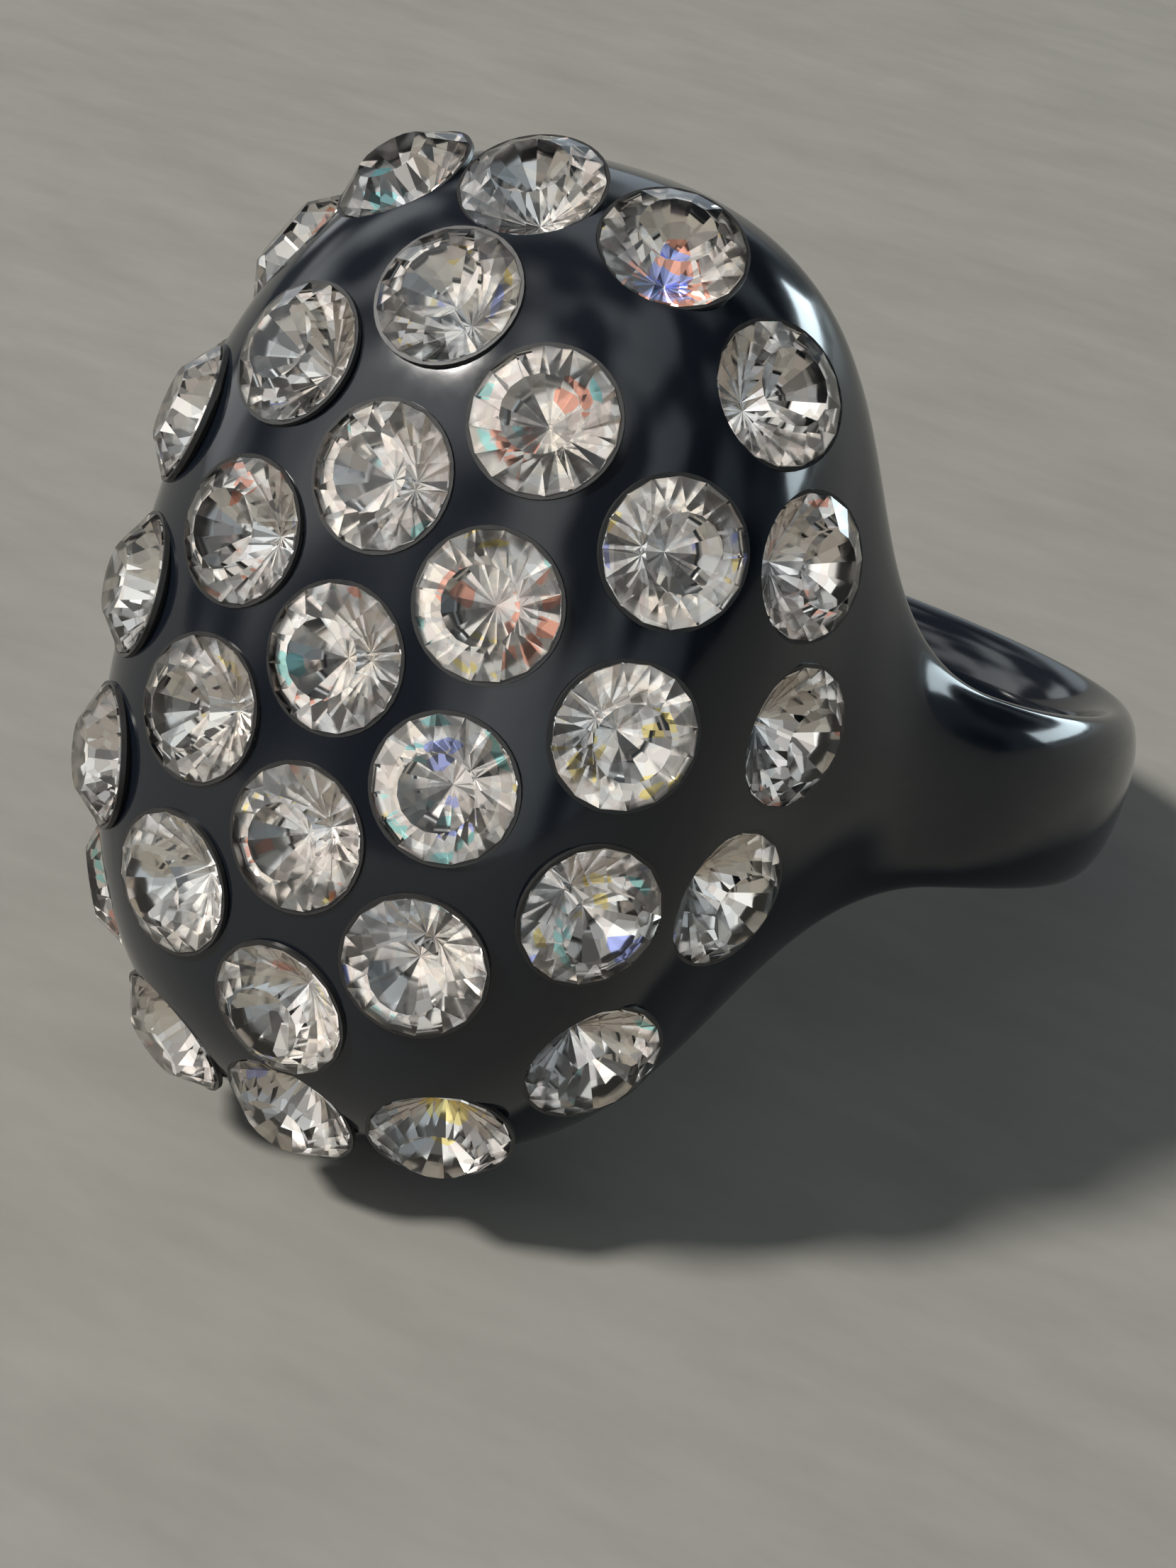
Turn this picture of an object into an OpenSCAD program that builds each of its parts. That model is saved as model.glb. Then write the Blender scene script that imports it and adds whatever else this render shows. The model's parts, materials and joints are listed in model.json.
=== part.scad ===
// Cocktail ring: a moulded resin ring with a domed head, set all over with round foil-backed chatons.
// The finger hole's centre is the origin. Inside ring_frame() the finger hole runs along Y and the
// dome's top faces +Z. The finished ring is turned so that it lies on its side on a table, +Z up.

/* [Finger hole] */
// Inside diameter of the finger hole
finger_hole_d = 17; // [15:0.1:21]
// Rounding where the finger hole meets the sides of the ring
hole_edge_round = 1.5; // [0.6:0.1:1.8]

/* [Shank] */
// Thickness of the shank opposite the head
shank_thick = 1.7; // [1.4:0.05:3]
// Width of the shank opposite the head
shank_w = 4; // [3:0.1:5.5]
// Extra half width that the shank gains by the time it meets the head
shank_flare = 3.85; // [2:0.05:7]
// Squareness of the shank's section: 2 is an ellipse
shank_power = 2.35; // [2:0.05:4]
// Length over which the shank and the head flow into each other
shoulder_blend = 4.1; // [1:0.1:5]

/* [Head] */
// Thickness of the head over the finger, at the top of the dome
apex_thick = 7.9; // [5:0.05:10]
// Height of the dome above the head's widest line
dome_h = 6.7; // [5:0.05:9]
// Depth of the rounded underside below the widest line
under_h = 3.9; // [2:0.1:5]
// How far the widest line stands out past the edge of the outermost columns of stones
side_reach = 0.2; // [0:0.05:1]
// Room past the last stone of the middle column, besides one stone of the outer row
end_reach = 0.35; // [0:0.05:1.5]
// Squareness of the dome: 2 is an ellipsoid, more gives a flatter top and steeper sides
dome_power = 2.7; // [2.2:0.05:3]
// Squareness of the head's outline seen from above: 2 is an ellipse
plan_power = 2.4; // [2:0.05:2.8]

/* [Stones] */
// Diameter of a stone at its girdle
stone_d = 2.8; // [2.3:0.05:3.4]
// Flat facets round each stone
stone_facets = 16; // [14:2:20]
// Diameter of the flat table on top of a stone
table_d = 1.5; // [1.2:0.05:1.7]
// Height of the crown above the girdle
crown_h = 0.46; // [0.3:0.02:0.6]
// Thickness of the girdle
girdle_h = 0.08; // [0.06:0.01:0.12]
// Depth of the pointed back below the girdle
pavilion_h = 1.2; // [1:0.05:1.4]
// Gap between stones of neighbouring columns
stone_gap = 0.4; // [0.3:0.02:0.8]
// Gap between stones along a column
row_gap = 0.66; // [0.5:0.02:1]
// Turn of the honeycomb of stones on the dome, in degrees
lattice_turn = 4; // [0:1:6]
// Steepness of the dome under the outer row, at the sides of the head, in degrees
outer_steep_side = 86.5; // [80:0.5:88]
// Steepness of the dome under the outer row, at the ends of the head, in degrees
outer_steep_end = 56.5; // [52:0.5:64]
// How much the stones of the outer row lean back from the dome's own slope, in degrees
outer_lean = 13; // [0:1:16]

/* [Seats] */
// Clearance between a stone and its seat, filled by cement
seat_gap = 0.06; // [0.04:0.01:0.1]
// Height of the girdle's underside above the resin at the middle of a seat
stone_proud = -0.04; // [-0.15:0.01:0.05]

/* [Hidden] */
INNER_ROWS = 2;
// Places of the outer row, in degrees round the head from the end away from the table
OUTER_PLACES = [-4, 22.5, 47, 66.5, 85, 104, 127, 150, 176.5, 204, 229.5, 251, 271, 290, 310, 330.5];
STONES_PER_COLUMN = [3, 4, 5, 4, 3];
SECTIONS = 84;
SECTION_POINTS = 36;
SEARCH_STEPS = 18;
CUT_ABOVE = 0.8;
POINT_FLAT = 0.05;
SPIN_STEP = 137.5;
// Depth of the section's rounded outer part, and of the part inside it, as shares of the thickness
SHANK_CROWN = 0.55;
INNER_DEPTH = 1.5;
// How late the shank flares on its way to the head
FLARE_POWER = 10;
// The skin's own finger hole is this much smaller in radius than the drilled one
BORE_SKIN = 0.15;
// Reach of the search for the skin near a stone's place, below and above it
BELOW_PLACE = 0.5;
ABOVE_PLACE = 1.5;
MAX_LEAN = 60;
STONES = 35;
finger_r = finger_hole_d / 2;
shank_r = shank_thick * SHANK_CROWN;
inner_r = shank_thick * INNER_DEPTH;
section_r = finger_r + shank_thick - shank_r;
stone_r = stone_d / 2;
pitch = stone_d + stone_gap;
row_step = stone_d + row_gap;
column_step = sqrt(pitch * pitch - row_step * row_step / 4);
head_rx = 2 * column_step + stone_d / 2 + side_reach;
head_ry = 2 * row_step + stone_d + end_reach;
head_z = finger_r + apex_thick - dome_h;
search_far = head_ry + apex_thick;

// ---- Outer shape of the resin, as a signed depth: negative inside, positive outside ----

function soft_min(a, b, blend) =
    let (near = max(blend - abs(a - b), 0) / blend)
    min(a, b) - near * near * blend / 4;

function soft_max(a, b, blend) = -soft_min(-a, -b, blend);

// Share of the way out from the middle of a superellipse that lies past its edge
function past_edge(u, v, power) =
    1 - 1 / max(pow(pow(abs(u), power) + pow(abs(v), power), 1 / power), 0.01);

// How far out a point lies seen from above: 1 on the head's outline
function plan_across(x, y) =
    pow(pow(abs(x) / head_rx, plan_power) + pow(abs(y) / head_ry, plan_power), 1 / plan_power);

function plan_slope(along, half) = sign(along) * pow(abs(along) / half, plan_power - 1) / half;

function dome_depth(x, y, z) =
    let (across = plan_across(x, y),
         up = (z - head_z) / (z > head_z ? dome_h : under_h))
    norm([x, y, z - head_z]) * past_edge(across, up, dome_power);

function shank_depth(rho, y, z) =
    let (toward_head = (1 + z / max(rho, 0.01)) / 2,
         half_w = shank_w / 2 + shank_flare * pow(toward_head, FLARE_POWER),
         across = (rho - section_r) / (rho > section_r ? shank_r : inner_r))
    norm([rho - section_r, y]) * past_edge(across, y / half_w, shank_power);

function resin_depth(p) =
    let (rho = norm([p.x, p.z]),
         outside = soft_min(dome_depth(p.x, p.y, p.z), shank_depth(rho, p.y, p.z), shoulder_blend))
    soft_max(outside, finger_r - BORE_SKIN - rho, hole_edge_round);

// Distance along a ray at which the resin ends, found by halving
function ray_end(from, dir, near, far, steps) =
    steps == 0 ? (near + far) / 2
    : let (middle = (near + far) / 2)
      resin_depth(from + dir * middle) < 0 ? ray_end(from, dir, middle, far, steps - 1)
                                           : ray_end(from, dir, near, middle, steps - 1);

// A point of the skin: turn goes round the finger from the top of the dome, tilt goes round the section
function skin_point(turn, tilt) =
    let (out = [sin(turn), 0, cos(turn)],
         from = out * section_r,
         dir = out * cos(tilt) + [0, sin(tilt), 0])
    from + dir * ray_end(from, dir, 0, search_far, SEARCH_STEPS);

skin_points = [for (i = [0:SECTIONS - 1], j = [0:SECTION_POINTS - 1])
               skin_point(360 * i / SECTIONS, 360 * j / SECTION_POINTS)];

function skin_index(i, j) = (i % SECTIONS) * SECTION_POINTS + j % SECTION_POINTS;

skin_faces = [for (i = [0:SECTIONS - 1], j = [0:SECTION_POINTS - 1], half = [0, 1])
              half == 0 ? [skin_index(i, j), skin_index(i, j + 1), skin_index(i + 1, j + 1)]
                        : [skin_index(i, j), skin_index(i + 1, j + 1), skin_index(i + 1, j)]];

// ---- The lean at which the head's end and the far side of the shank both touch the table ----

function lowest(points, lean) = min([for (p = points) p.y * cos(lean) + p.z * sin(lean)]);

head_points = [for (p = skin_points) if (p.z > 0) p];
shank_points = [for (p = skin_points) if (p.z < 0) p];

function find_lean(low, high, steps) =
    steps == 0 ? (low + high) / 2
    : let (middle = (low + high) / 2)
      lowest(shank_points, middle) > lowest(head_points, middle) ? find_lean(middle, high, steps - 1)
                                                                 : find_lean(low, middle, steps - 1);

rest_lean = find_lean(0, MAX_LEAN, SEARCH_STEPS);

// ---- Where the stones sit: each place is [point on the resin, direction the stone faces] ----

function dome_top(x, y) =
    let (across = plan_across(x, y))
    head_z + dome_h * pow(1 - pow(across, dome_power), 1 / dome_power);

function dome_normal(x, y, z) =
    let (side = pow(max(plan_across(x, y), 0.001), dome_power - plan_power),
         n = [side * plan_slope(x, head_rx), side * plan_slope(y, head_ry),
              pow((z - head_z) / dome_h, dome_power - 1) / dome_h])
    n / norm(n);

// Moves a place along its normal onto the blended skin
function onto_skin(p, n) =
    p + n * (ray_end(p - n * BELOW_PLACE, n, 0, BELOW_PLACE + ABOVE_PLACE, SEARCH_STEPS) - BELOW_PLACE);

function column_place(c, j) =
    let (x = (c - INNER_ROWS) * column_step,
         y = (j - (STONES_PER_COLUMN[c] - 1) / 2) * row_step,
         xt = x * cos(lattice_turn) - y * sin(lattice_turn),
         yt = x * sin(lattice_turn) + y * cos(lattice_turn),
         p = [xt, yt, dome_top(xt, yt)],
         n = dome_normal(xt, yt, p.z))
    [onto_skin(p, n), n];

// The outer row follows the line on the dome that has the wanted steepness
function outer_place(turn) =
    let (steep = outer_steep_side + (outer_steep_end - outer_steep_side) * cos(turn) * cos(turn),
         reach = plan_across(head_rx * sin(turn), head_ry * cos(turn)),
         edge = [head_rx * sin(turn) / reach, head_ry * cos(turn) / reach],
         slope = norm([plan_slope(edge.x, head_rx), plan_slope(edge.y, head_ry)]) * dome_h,
         ratio = pow(tan(steep) / slope, 1 / (dome_power - 1)),
         up = pow(1 + pow(ratio, dome_power), -1 / dome_power),
         across = ratio * up,
         p = [edge.x * across, edge.y * across, head_z + dome_h * up],
         n = dome_normal(p.x, p.y, p.z),
         level = [n.x, n.y, 0] / norm([n.x, n.y]),
         facing = steep - outer_lean)
    [onto_skin(p, n), level * sin(facing) + [0, 0, cos(facing)]];

inner_places = [for (c = [0:4], j = [0:STONES_PER_COLUMN[c] - 1]) column_place(c, j)];
outer_places = [for (turn = OUTER_PLACES) outer_place(turn)];
places = concat(inner_places, outer_places);

// ---- Frames ----

module ring_frame() {
    rotate([90 - rest_lean, 0, 0]) children();
}

module at_place(i) {
    point = places[i][0];
    facing = places[i][1];
    translate(point)
        rotate([0, acos(facing.z), atan2(facing.y, facing.x)])
            rotate([0, 0, SPIN_STEP * i])
                translate([0, 0, stone_proud])
                    children();
}

// ---- Stones: z = 0 is the underside of the girdle ----

function ring_of(r, z) = [for (k = [0:stone_facets - 1]) [r * cos(360 * k / stone_facets),
                                                           r * sin(360 * k / stone_facets), z]];

module stone_shape() {
    n = stone_facets;
    points = concat(ring_of(table_d / 2, girdle_h + crown_h), ring_of(stone_r, girdle_h),
                    ring_of(stone_r, 0), [[0, 0, -pavilion_h]]);
    walls = [for (level = [0, 1], k = [0:n - 1])
             [level * n + k, level * n + (k + 1) % n, (level + 1) * n + (k + 1) % n,
              (level + 1) * n + k]];
    back = [for (k = [0:n - 1]) [2 * n + k, 2 * n + (k + 1) % n, 3 * n]];
    table = [[for (k = [0:n - 1]) n - 1 - k]];
    polyhedron(points, concat(table, walls, back), convexity = 2);
}

module crystal(i) {
    color([0.86, 0.84, 0.78, 0.6]) ring_frame() at_place(i) stone_shape();
}

// ---- Seats: a drilled cone with a short straight mouth ----

module seat_outline(top) {
    polygon([[0, -pavilion_h - seat_gap],
             [POINT_FLAT, -pavilion_h - seat_gap],
             [stone_r + seat_gap, -seat_gap],
             [stone_r + seat_gap, top],
             [0, top]]);
}

module cement_bed() {
    difference() {
        rotate_extrude($fn = 48) seat_outline(girdle_h / 2);
        stone_shape();
    }
}

module cement(first, last) {
    color([0.16, 0.16, 0.17]) ring_frame() for (i = [first:last]) at_place(i) cement_bed();
}

// ---- Ring body ----

module finger_hole() {
    rotate([90, 0, 0]) cylinder(r = finger_r, h = 4 * head_ry, center = true, $fn = 180);
}

module ring_body() {
    color([0.03, 0.035, 0.05]) ring_frame() difference() {
        polyhedron(skin_points, skin_faces, convexity = 6);
        finger_hole();
        for (i = [0:len(places) - 1])
            at_place(i) rotate_extrude($fn = 48) seat_outline(CUT_ABOVE);
    }
}

ring_body();
crystal(0);  // crystal_01
crystal(1);  // crystal_02
crystal(2);  // crystal_03
crystal(3);  // crystal_04
crystal(4);  // crystal_05
crystal(5);  // crystal_06
crystal(6);  // crystal_07
crystal(7);  // crystal_08
crystal(8);  // crystal_09
crystal(9);  // crystal_10
crystal(10);  // crystal_11
crystal(11);  // crystal_12
crystal(12);  // crystal_13
crystal(13);  // crystal_14
crystal(14);  // crystal_15
crystal(15);  // crystal_16
crystal(16);  // crystal_17
crystal(17);  // crystal_18
crystal(18);  // crystal_19
crystal(19);  // crystal_20
crystal(20);  // crystal_21
crystal(21);  // crystal_22
crystal(22);  // crystal_23
crystal(23);  // crystal_24
crystal(24);  // crystal_25
crystal(25);  // crystal_26
crystal(26);  // crystal_27
crystal(27);  // crystal_28
crystal(28);  // crystal_29
crystal(29);  // crystal_30
crystal(30);  // crystal_31
crystal(31);  // crystal_32
crystal(32);  // crystal_33
crystal(33);  // crystal_34
crystal(34);  // crystal_35
cement(0, len(inner_places) - 1);  // cement_inner
cement(len(inner_places), len(places) - 1);  // cement_outer
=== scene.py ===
"""Looks for the cocktail ring: black resin, foil-backed crystals and their cement, on a pale table."""

import json
import math

import bmesh
import bpy
import numpy as np
from mathutils import Matrix, Vector


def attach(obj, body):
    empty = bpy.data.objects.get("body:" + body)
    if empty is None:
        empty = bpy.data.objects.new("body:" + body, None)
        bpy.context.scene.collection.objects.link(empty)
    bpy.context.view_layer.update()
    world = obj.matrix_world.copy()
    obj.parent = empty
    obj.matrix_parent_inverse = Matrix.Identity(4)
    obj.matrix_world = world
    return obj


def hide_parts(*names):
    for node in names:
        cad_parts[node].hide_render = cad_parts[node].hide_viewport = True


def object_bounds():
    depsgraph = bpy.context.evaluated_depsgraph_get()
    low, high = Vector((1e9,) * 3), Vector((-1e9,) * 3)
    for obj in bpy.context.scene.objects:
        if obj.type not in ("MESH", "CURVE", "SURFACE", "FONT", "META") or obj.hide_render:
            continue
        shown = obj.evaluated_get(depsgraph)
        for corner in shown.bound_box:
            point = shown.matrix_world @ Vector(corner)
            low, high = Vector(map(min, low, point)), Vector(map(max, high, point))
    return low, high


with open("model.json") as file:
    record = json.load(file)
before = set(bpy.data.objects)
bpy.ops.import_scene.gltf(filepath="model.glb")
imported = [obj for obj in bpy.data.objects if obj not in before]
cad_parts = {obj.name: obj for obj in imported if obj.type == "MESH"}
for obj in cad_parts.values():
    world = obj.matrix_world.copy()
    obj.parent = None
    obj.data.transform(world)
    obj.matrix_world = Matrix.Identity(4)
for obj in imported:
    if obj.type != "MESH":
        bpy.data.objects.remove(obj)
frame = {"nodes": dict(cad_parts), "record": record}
CAD_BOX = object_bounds()

MM = 0.001

# Driving sizes of the resin, the same as the CAD model's, in metres
FINGER_R = 8.5 * MM
HOLE_EDGE_ROUND = 1.5 * MM
SHANK_THICK = 1.7 * MM
SHANK_W = 4.0 * MM
SHANK_FLARE = 3.85 * MM
FLARE_POWER = 10
SHANK_POWER = 2.35
SHOULDER_BLEND = 4.1 * MM
APEX_THICK = 7.9 * MM
DOME_H = 6.7 * MM
UNDER_H = 3.9 * MM
HEAD_RX = 6.984 * MM
HEAD_RY = 10.07 * MM
DOME_POWER = 2.7
PLAN_POWER = 2.4
# Depth of the band's rounded outer part, and of the part inside it, as shares of the thickness
SHANK_CROWN = 0.55
INNER_DEPTH = 1.5
SHANK_R = SHANK_THICK * SHANK_CROWN
INNER_R = SHANK_THICK * INNER_DEPTH
SECTION_R = FINGER_R + SHANK_THICK - SHANK_R
HEAD_Z = FINGER_R + APEX_THICK - DOME_H

# Driving sizes of a stone
STONE_R = 1.4 * MM
STONE_FACETS = 16
TABLE_R = 0.75 * MM
CROWN_H = 0.46 * MM
GIRDLE_H = 0.08 * MM
PAVILION_H = 1.2 * MM
SEAT_GAP = 0.06 * MM
# The foiled back stands this far off its cement, so that the two faces never coincide
FOIL_GAP = 0.008 * MM

# A seat's cutter: flat at its point, reaching above the girdle, and round to this many sides
SEAT_POINT_R = 0.05 * MM
SEAT_CUT_ABOVE = 0.8 * MM
SEAT_SIDES = 64

# Fineness of the resin's mesh: sections round the finger, and points round each section
SECTIONS = 440
SECTION_POINTS = 200
SEARCH_STEPS = 30
# Step for measuring the skin's slope, and how near the skin a point counts as lying on it
SLOPE_STEP = 0.002 * MM
ON_SKIN = 0.01 * MM

CRYSTALS = sorted(name for name in frame["nodes"] if name.startswith("crystal_"))


# ---- The ring's own axes, found from the record's finger hole ----

def ring_axes():
    """Rotation from the ring's own axes (finger hole along Y, dome up Z) to the frame."""
    hole = next(m for m in frame["record"]["mounts"] if m["name"] == "finger_hole")
    along = Vector(hole["axis"]).normalized()
    across = Vector((1, 0, 0))
    up = across.cross(along)
    return Matrix((across, along, up)).transposed()


RING = ring_axes()
RING_NP = np.array(RING)


# ---- The resin's outer shape, as in the CAD model: negative inside, positive outside ----

def soft_min(a, b, blend):
    near = np.maximum(blend - np.abs(a - b), 0) / blend
    return np.minimum(a, b) - near * near * blend / 4


def soft_max(a, b, blend):
    return -soft_min(-a, -b, blend)


def past_edge(u, v, power):
    """Share of the way out from the middle of a superellipse that lies past its edge."""
    return 1 - 1 / np.maximum((np.abs(u) ** power + np.abs(v) ** power) ** (1 / power), 0.01)


def dome_depth(p):
    out = np.abs(p[:, :2]) / (HEAD_RX, HEAD_RY)
    across = np.sum(out**PLAN_POWER, axis=1) ** (1 / PLAN_POWER)
    rise = p[:, 2] - HEAD_Z
    up = np.where(rise > 0, rise / DOME_H, rise / UNDER_H)
    return np.sqrt(p[:, 0] ** 2 + p[:, 1] ** 2 + rise**2) * past_edge(across, up, DOME_POWER)


def shank_depth(p, rho):
    toward_head = (1 + p[:, 2] / np.maximum(rho, 1e-5)) / 2
    half_w = SHANK_W / 2 + SHANK_FLARE * toward_head**FLARE_POWER
    out = rho - SECTION_R
    across = out / np.where(out > 0, SHANK_R, INNER_R)
    return np.hypot(out, p[:, 1]) * past_edge(across, p[:, 1] / half_w, SHANK_POWER)


def resin_depth(p):
    rho = np.hypot(p[:, 0], p[:, 2])
    outside = soft_min(dome_depth(p), shank_depth(p, rho), SHOULDER_BLEND)
    return soft_max(outside, FINGER_R - rho, HOLE_EDGE_ROUND)


def resin_normal(p):
    """Outward unit normals at points near the skin, from the slope of resin_depth."""
    slope = np.empty_like(p)
    for axis in range(3):
        offset = np.zeros(3)
        offset[axis] = SLOPE_STEP
        slope[:, axis] = resin_depth(p + offset) - resin_depth(p - offset)
    return slope / np.linalg.norm(slope, axis=1, keepdims=True)


def resin_skin():
    """Points of the skin in the ring's axes, as a grid of sections by points."""
    turn, tilt = np.meshgrid(
        np.linspace(0, 2 * math.pi, SECTIONS, endpoint=False),
        np.linspace(0, 2 * math.pi, SECTION_POINTS, endpoint=False),
        indexing="ij",
    )
    turn, tilt = turn.ravel(), tilt.ravel()
    out = np.stack([np.sin(turn), np.zeros_like(turn), np.cos(turn)], axis=1)
    ray = out * np.cos(tilt)[:, None]
    ray[:, 1] += np.sin(tilt)
    near = np.zeros_like(turn)
    far = np.full_like(turn, HEAD_RY + APEX_THICK)
    for _ in range(SEARCH_STEPS):
        middle = (near + far) / 2
        inside = resin_depth(out * SECTION_R + ray * middle[:, None]) < 0
        near = np.where(inside, middle, near)
        far = np.where(inside, far, middle)
    return out * SECTION_R + ray * near[:, None]


# ---- Where each stone sits, read from its CAD node ----

def stone_frame(name):
    """Matrix of a stone: origin at the middle of the girdle's underside, Z out of the table."""
    mesh = bpy.data.objects[name].data
    points = np.array([v.co for v in mesh.vertices])
    points = np.unique(np.round(points, 8), axis=0)
    centre = points.mean(axis=0)
    _, _, axes = np.linalg.svd(points - centre)
    axis = axes[2]
    heights = (points - centre) @ axis
    if abs(heights.min()) < heights.max():
        axis, heights = -axis, -heights
    tip = points[heights.argmin()]
    base = tip + axis * PAVILION_H
    radial = points - base - np.outer((points - base) @ axis, axis)
    corner = radial[np.linalg.norm(radial, axis=1).argmax()]
    side = corner / np.linalg.norm(corner)
    other = np.cross(axis, side)
    matrix = Matrix((side, other, axis)).transposed().to_4x4()
    matrix.translation = Vector(base)
    return matrix


STONE_FRAMES = {name: stone_frame(name) for name in CRYSTALS}


# ---- Small helpers ----

def new_object(name, mesh):
    piece = bpy.data.objects.new(name, mesh)
    bpy.context.scene.collection.objects.link(piece)
    return piece


def ring_of(radius, height, count=STONE_FACETS):
    """Corners of a level polygon round the Z axis."""
    steps = [2 * math.pi * k / count for k in range(count)]
    return [(radius * math.cos(a), radius * math.sin(a), height) for a in steps]


def bridge(bm, lower, upper):
    """Side faces from one ring of corners up to the next."""
    count = len(lower)
    for k in range(count):
        bm.faces.new((lower[k], lower[(k + 1) % count], upper[(k + 1) % count], upper[k]))


# ---- Resin body ----

def seat_cutters():
    """One mesh of the 35 drilled seats, a little over the resin so that they open it cleanly."""
    outline = [
        (SEAT_POINT_R, -PAVILION_H - SEAT_GAP),
        (STONE_R + SEAT_GAP, -SEAT_GAP),
        (STONE_R + SEAT_GAP, SEAT_CUT_ABOVE),
    ]
    bm = bmesh.new()
    for matrix in STONE_FRAMES.values():
        rings = []
        for radius, height in outline:
            rings.append([bm.verts.new(matrix @ Vector(p)) for p in ring_of(radius, height, SEAT_SIDES)])
        for lower, upper in zip(rings, rings[1:]):
            bridge(bm, lower, upper)
        bm.faces.new(list(reversed(rings[0])))
        bm.faces.new(rings[-1])
    mesh = bpy.data.meshes.new("seat_cutters")
    bm.to_mesh(mesh)
    bm.free()
    return new_object("seat_cutters", mesh)


def skin_faces():
    i, j = np.meshgrid(np.arange(SECTIONS), np.arange(SECTION_POINTS), indexing="ij")
    i, j = i.ravel(), j.ravel()
    ni, nj = (i + 1) % SECTIONS, (j + 1) % SECTION_POINTS
    corners = [i * SECTION_POINTS + j, ni * SECTION_POINTS + j,
               ni * SECTION_POINTS + nj, i * SECTION_POINTS + nj]
    return np.stack(corners, axis=1)


def smooth_normals(mesh):
    """The skin shades by the exact slope of its formula; the seats' walls shade flat."""
    count = len(mesh.vertices)
    places = np.empty(count * 3)
    mesh.vertices.foreach_get("co", places)
    places = places.reshape(-1, 3) @ RING_NP
    on_skin = np.abs(resin_depth(places)) < ON_SKIN
    normals = resin_normal(places) @ RING_NP.T
    loops = []
    for face in mesh.polygons:
        flat = not all(on_skin[v] for v in face.vertices)
        for v in face.vertices:
            loops.append(tuple(face.normal) if flat else tuple(normals[v]))
    mesh.polygons.foreach_set("use_smooth", [True] * len(mesh.polygons))
    mesh.normals_split_custom_set(loops)


def make_resin():
    mesh = bpy.data.meshes.new("resin")
    mesh.from_pydata((resin_skin() @ RING_NP.T).tolist(), [], skin_faces().tolist())
    mesh.update()
    body = new_object("resin_body", mesh)
    cutters = seat_cutters()
    cut = body.modifiers.new("seats", "BOOLEAN")
    cut.operation = "DIFFERENCE"
    cut.solver = "EXACT"
    cut.object = cutters
    graph = bpy.context.evaluated_depsgraph_get()
    result = bpy.data.meshes.new_from_object(body.evaluated_get(graph))
    body.modifiers.clear()
    body.data = result
    bpy.data.objects.remove(cutters)
    smooth_normals(result)
    return body


# ---- Stones ----

def stone_mesh(name, matrix):
    """Crown and girdle faces carry material 0, the clear glass; the foiled back carries 1."""
    bm = bmesh.new()
    rings = [
        ring_of(STONE_R - FOIL_GAP, 0),
        ring_of(STONE_R - FOIL_GAP, GIRDLE_H),
        ring_of(TABLE_R, GIRDLE_H + CROWN_H),
    ]
    rings = [[bm.verts.new(matrix @ Vector(p)) for p in ring] for ring in rings]
    tip = bm.verts.new(matrix @ Vector((0, 0, FOIL_GAP - PAVILION_H)))
    for lower, upper in zip(rings, rings[1:]):
        bridge(bm, lower, upper)
    bm.faces.new(rings[-1])
    for k in range(STONE_FACETS):
        back = bm.faces.new((tip, rings[0][(k + 1) % STONE_FACETS], rings[0][k]))
        back.material_index = 1
    mesh = bpy.data.meshes.new(name)
    bm.to_mesh(mesh)
    bm.free()
    return mesh


def make_stones(glass, foil):
    for name in CRYSTALS:
        stone = new_object(name.replace("crystal", "chaton"), stone_mesh(name, STONE_FRAMES[name]))
        stone.data.materials.append(glass)
        stone.data.materials.append(foil)
        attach(stone, "root")
        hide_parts(name)


# ---- Materials ----

def new_material(name):
    material = bpy.data.materials.new(name)
    material.use_nodes = True
    nodes = material.node_tree.nodes
    return material, nodes, material.node_tree.links, nodes["Principled BSDF"]


def object_noise(nodes, links, scale, detail=3.0):
    place = nodes.new("ShaderNodeTexCoord")
    noise = nodes.new("ShaderNodeTexNoise")
    noise.inputs["Scale"].default_value = scale
    noise.inputs["Detail"].default_value = detail
    links.new(place.outputs["Object"], noise.inputs["Vector"])
    return noise


def spread(nodes, links, value, low, high, start=0.0, end=1.0):
    """A value from start to end, spread to run from low to high."""
    node = nodes.new("ShaderNodeMapRange")
    for socket, number in (("From Min", start), ("From Max", end), ("To Min", low), ("To Max", high)):
        node.inputs[socket].default_value = number
    links.new(value, node.inputs["Value"])
    return node.outputs["Result"]


def blend_colours(nodes, links, value, low, high):
    node = nodes.new("ShaderNodeMix")
    node.data_type = "RGBA"
    node.inputs["A"].default_value = (*low, 1)
    node.inputs["B"].default_value = (*high, 1)
    links.new(value, node.inputs["Factor"])
    return node.outputs["Result"]


# Base colours that each material's noise runs between
RESIN_DARK, RESIN_LIGHT = (0.004, 0.006, 0.010), (0.009, 0.012, 0.018)
GLASS_WARM, GLASS_CLEAR = (0.985, 0.965, 0.93), (1.0, 0.99, 0.97)
CEMENT_DARK, CEMENT_LIGHT = (0.02, 0.02, 0.022), (0.05, 0.048, 0.045)
TABLE_DARK, TABLE_LIGHT = (0.33, 0.32, 0.285), (0.50, 0.485, 0.445)


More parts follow.
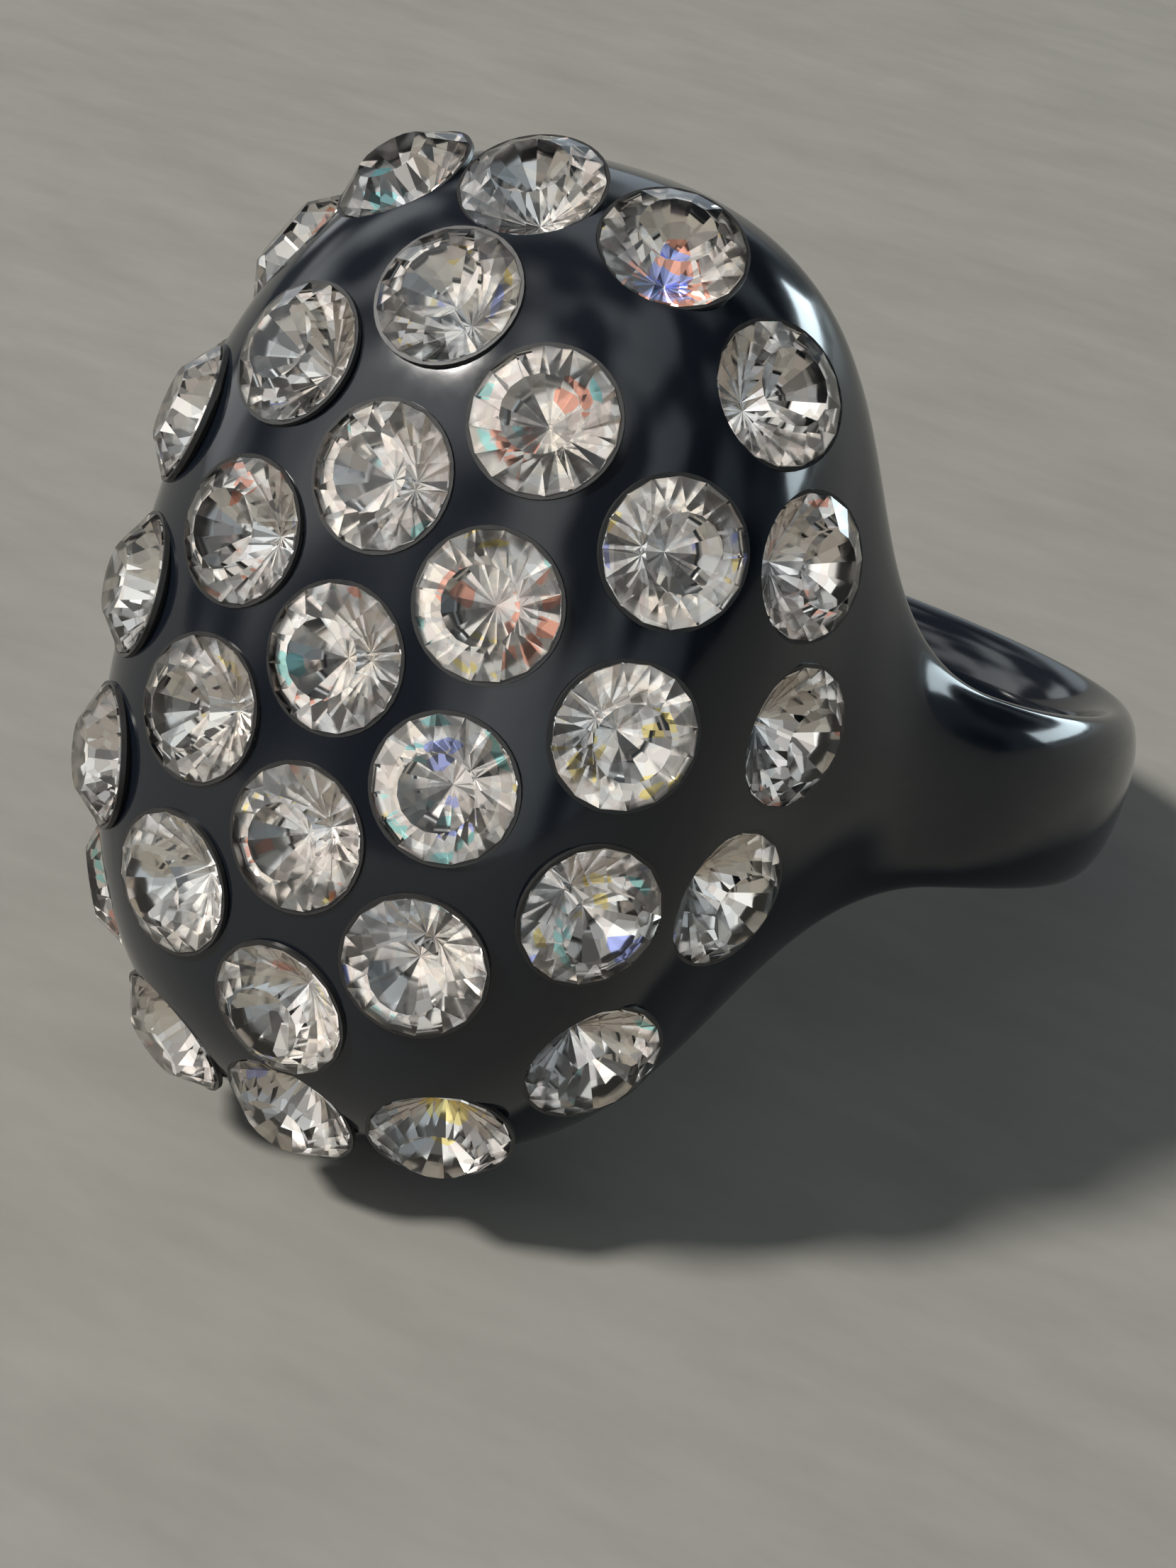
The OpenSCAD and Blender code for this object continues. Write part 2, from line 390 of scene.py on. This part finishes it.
def resin_material():
    material, nodes, links, bsdf = new_material("black_resin")
    broad = object_noise(nodes, links, 260)
    fine = object_noise(nodes, links, 1800, 4)
    colour = blend_colours(nodes, links, broad.outputs["Fac"], RESIN_DARK, RESIN_LIGHT)
    links.new(colour, bsdf.inputs["Base Color"])
    links.new(spread(nodes, links, fine.outputs["Fac"], 0.05, 0.16), bsdf.inputs["Roughness"])
    bump = nodes.new("ShaderNodeBump")
    bump.inputs["Strength"].default_value = 0.06
    bump.inputs["Distance"].default_value = 0.02 * MM
    links.new(fine.outputs["Fac"], bump.inputs["Height"])
    links.new(bump.outputs["Normal"], bsdf.inputs["Normal"])
    bsdf.inputs["IOR"].default_value = 1.5
    bsdf.inputs["Coat Weight"].default_value = 0.1
    bsdf.inputs["Coat Roughness"].default_value = 0.03
    return material


def glass_material():
    material, nodes, links, bsdf = new_material("cut_glass")
    haze = object_noise(nodes, links, 900)
    colour = blend_colours(nodes, links, haze.outputs["Fac"], GLASS_WARM, GLASS_CLEAR)
    links.new(colour, bsdf.inputs["Base Color"])
    links.new(spread(nodes, links, haze.outputs["Fac"], 0.0, 0.02), bsdf.inputs["Roughness"])
    bsdf.inputs["IOR"].default_value = 1.57
    bsdf.inputs["Transmission Weight"].default_value = 1.0
    return material


# Tints that the foil throws back: mostly silver and champagne, with rare painted flashes of fire,
# coloured glints painted into the foil in place of the glass's dispersion
FOIL_TINTS_AND_PAINTED_FIRE = [
    (0.00, (0.80, 0.78, 0.76)),
    (0.22, (0.90, 0.85, 0.79)),
    (0.42, (0.66, 0.62, 0.59)),
    (0.58, (0.95, 0.93, 0.91)),
    (0.78, (0.84, 0.77, 0.74)),
    (0.93, (0.98, 0.82, 0.36)),
    (0.942, (0.40, 0.76, 0.74)),
    (0.952, (0.88, 0.86, 0.84)),
    (0.972, (0.85, 0.42, 0.32)),
    (0.982, (0.45, 0.50, 0.92)),
    (0.99, (0.96, 0.94, 0.92)),
]


def foil_material():
    material, nodes, links, bsdf = new_material("mirror_foil")
    place = nodes.new("ShaderNodeTexCoord")
    cells = nodes.new("ShaderNodeTexVoronoi")
    cells.inputs["Scale"].default_value = 2600
    links.new(place.outputs["Object"], cells.inputs["Vector"])
    pick = nodes.new("ShaderNodeSeparateColor")
    links.new(cells.outputs["Color"], pick.inputs["Color"])
    # Each cell takes a silver or champagne tint, or a painted flash of fire that stands in for the
    # glass's dispersion
    ramp = nodes.new("ShaderNodeValToRGB")
    ramp.color_ramp.interpolation = "CONSTANT"
    for stop, colour in FOIL_TINTS_AND_PAINTED_FIRE:
        knot = ramp.color_ramp.elements.new(stop) if stop else ramp.color_ramp.elements[0]
        knot.color = (*colour, 1)
    ramp.color_ramp.elements.remove(ramp.color_ramp.elements[-1])
    links.new(pick.outputs["Red"], ramp.inputs["Fac"])
    links.new(ramp.outputs["Color"], bsdf.inputs["Base Color"])
    links.new(spread(nodes, links, pick.outputs["Green"], 0.03, 0.14), bsdf.inputs["Roughness"])
    bsdf.inputs["Metallic"].default_value = 1.0
    return material


def cement_material():
    material, nodes, links, bsdf = new_material("dark_cement")
    grain = object_noise(nodes, links, 3000)
    colour = blend_colours(nodes, links, grain.outputs["Fac"], CEMENT_DARK, CEMENT_LIGHT)
    links.new(colour, bsdf.inputs["Base Color"])
    links.new(spread(nodes, links, grain.outputs["Fac"], 0.2, 0.4), bsdf.inputs["Roughness"])
    return material


# The table's long mottled grain: its turn in degrees, and its fineness along X, Y and Z
GRAIN_TURN = -41
GRAIN_SCALE = (140, 400, 60)


def table_material():
    material, nodes, links, bsdf = new_material("pale_table")
    place = nodes.new("ShaderNodeTexCoord")
    stretch = nodes.new("ShaderNodeMapping")
    stretch.inputs["Rotation"].default_value = (0, 0, math.radians(GRAIN_TURN))
    stretch.inputs["Scale"].default_value = GRAIN_SCALE
    links.new(place.outputs["Object"], stretch.inputs["Vector"])
    mottle = nodes.new("ShaderNodeTexNoise")
    mottle.inputs["Scale"].default_value = 1.5
    mottle.inputs["Detail"].default_value = 8
    mottle.inputs["Roughness"].default_value = 0.6
    links.new(stretch.outputs["Vector"], mottle.inputs["Vector"])
    colour = blend_colours(nodes, links, mottle.outputs["Fac"], TABLE_DARK, TABLE_LIGHT)
    links.new(colour, bsdf.inputs["Base Color"])
    bsdf.inputs["Roughness"].default_value = 0.7
    return material


# ---- Camera, table and light ----

# Camera angles, in degrees, and its distance from the point that it aims at
VIEW_AZIMUTH = 27.2
VIEW_ELEVATION = 31.4
VIEW_ROLL = 7.2
VIEW_DISTANCE = 79.5 * MM
# The point aimed at, from the finger hole's centre
AIM = Vector((-1.0, -2.38, -2.72)) * MM
# Focal length and the sensor's height, in millimetres
LENS = 80.7
SENSOR_H = 36.0

# The table reaches this far from the ring each way, in metres
TABLE_REACH = 1.5

# The room's soft patches: their scale, the noise values that they rise between, and their levels
PATCH_SCALE = 2.6
PATCH_RISE = (0.40, 0.64)
PATCH_LEVELS = (0.10, 1.5)
# The side that the room is lit from, as azimuth and elevation, and the share left on the far side
LIT_SIDE = (-50, 25)
FAR_LEVEL = 0.12
FADE = (-0.8, 0.7)
# The room's level as fill light, which is evener and dimmer than what the stones mirror
FILL_LEVEL = 0.12
FAR_TINT = (0.62, 0.82, 1.0, 1.0)
COOL_TINT, WARM_TINT = (0.82, 0.92, 1.0), (1.0, 0.94, 0.86)


def direction(azimuth, elevation):
    """From the ring towards a place at this azimuth (0 is -Y, positive towards +X) and elevation."""
    a, e = math.radians(azimuth), math.radians(elevation)
    return Vector((math.sin(a) * math.cos(e), -math.cos(a) * math.cos(e), math.sin(e)))


def look_along(thing, place, target, roll=0.0):
    thing.location = place
    turn = (target - place).to_track_quat("-Z", "Y").to_matrix()
    thing.rotation_euler = (turn @ Matrix.Rotation(math.radians(roll), 3, "Z")).to_euler()


def make_camera():
    data = bpy.data.cameras.new("camera")
    data.sensor_fit = "VERTICAL"
    data.sensor_height = SENSOR_H
    data.lens = LENS
    data.clip_start = 0.005
    camera = new_object("camera", data)
    place = AIM + direction(VIEW_AZIMUTH, VIEW_ELEVATION) * VIEW_DISTANCE
    look_along(camera, place, AIM, VIEW_ROLL)
    bpy.context.scene.camera = camera


def make_table(material):
    floor = CAD_BOX[0][2]
    mesh = bpy.data.meshes.new("table")
    signs = ((-1, -1), (1, -1), (1, 1), (-1, 1))
    corners = [(x * TABLE_REACH, y * TABLE_REACH, floor) for x, y in signs]
    mesh.from_pydata(corners, [], [(0, 1, 2, 3)])
    mesh.materials.append(material)
    table = new_object("table", mesh)


def make_light(name, azimuth, elevation, distance, size, power, colour, height=0.0):
    """An area light facing the ring: a disc, or a rectangle where a height is given."""
    data = bpy.data.lights.new(name, "AREA")
    data.shape = "RECTANGLE" if height else "DISK"
    data.size = size
    if height:
        data.size_y = height
    data.energy = power
    data.color = colour
    light = new_object(name, data)
    look_along(light, direction(azimuth, elevation) * distance, Vector((0, 0, 0)))


def make_lights():
    make_light("key", -43, 46, 0.8, 0.12, 4.9, (1.0, 0.97, 0.92))
    make_light("window", 155, 5, 0.5, 0.46, 0.55, (0.78, 0.93, 1.0), height=0.06)
    make_room()


def make_room():
    """Soft bright and dark patches round the ring, for the stones and the resin to mirror."""
    world = bpy.data.worlds.new("room")
    world.use_nodes = True
    nodes, links = world.node_tree.nodes, world.node_tree.links
    place = nodes.new("ShaderNodeTexCoord")
    patches = nodes.new("ShaderNodeTexNoise")
    patches.inputs["Scale"].default_value = PATCH_SCALE
    patches.inputs["Detail"].default_value = 1.0
    links.new(place.outputs["Generated"], patches.inputs["Vector"])
    bright = spread(nodes, links, patches.outputs["Fac"], *PATCH_LEVELS, *PATCH_RISE)
    bright.node.interpolation_type = "SMOOTHSTEP"

    side = nodes.new("ShaderNodeVectorMath")
    side.operation = "DOT_PRODUCT"
    side.inputs[1].default_value = direction(*LIT_SIDE)
    links.new(place.outputs["Generated"], side.inputs[0])
    fade = spread(nodes, links, side.outputs["Value"], FAR_LEVEL, 1.0, *FADE)
    faded = nodes.new("ShaderNodeMath")
    faded.operation = "MULTIPLY"
    links.new(bright, faded.inputs[0])
    links.new(fade, faded.inputs[1])

    path = nodes.new("ShaderNodeLightPath")
    level = nodes.new("ShaderNodeMix")
    level.data_type = "FLOAT"
    level.inputs["B"].default_value = FILL_LEVEL
    links.new(path.outputs["Is Diffuse Ray"], level.inputs["Factor"])
    links.new(faded.outputs["Value"], level.inputs["A"])

    tint = nodes.new("ShaderNodeTexNoise")
    tint.inputs["Scale"].default_value = 1.2
    links.new(place.outputs["Generated"], tint.inputs["Vector"])
    near = blend_colours(nodes, links, tint.outputs["Fac"], COOL_TINT, WARM_TINT)
    colour = nodes.new("ShaderNodeMix")
    colour.data_type = "RGBA"
    colour.inputs["A"].default_value = FAR_TINT
    links.new(fade, colour.inputs["Factor"])
    links.new(near, colour.inputs["B"])
    background = nodes["Background"]
    links.new(colour.outputs["Result"], background.inputs["Color"])
    links.new(level.outputs["Result"], background.inputs["Strength"])
    bpy.context.scene.world = world


# ---- Build ----

make_camera()
make_table(table_material())
make_lights()

resin = make_resin()
resin.data.materials.clear()
resin.data.materials.append(resin_material())
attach(resin, "root")
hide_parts("ring_body")

make_stones(glass_material(), foil_material())

cement = cement_material()
for node in ("cement_inner", "cement_outer"):
    for material_slot in bpy.data.objects[node].material_slots:
        material_slot.material = cement

bpy.context.scene.view_settings.view_transform = "Standard"
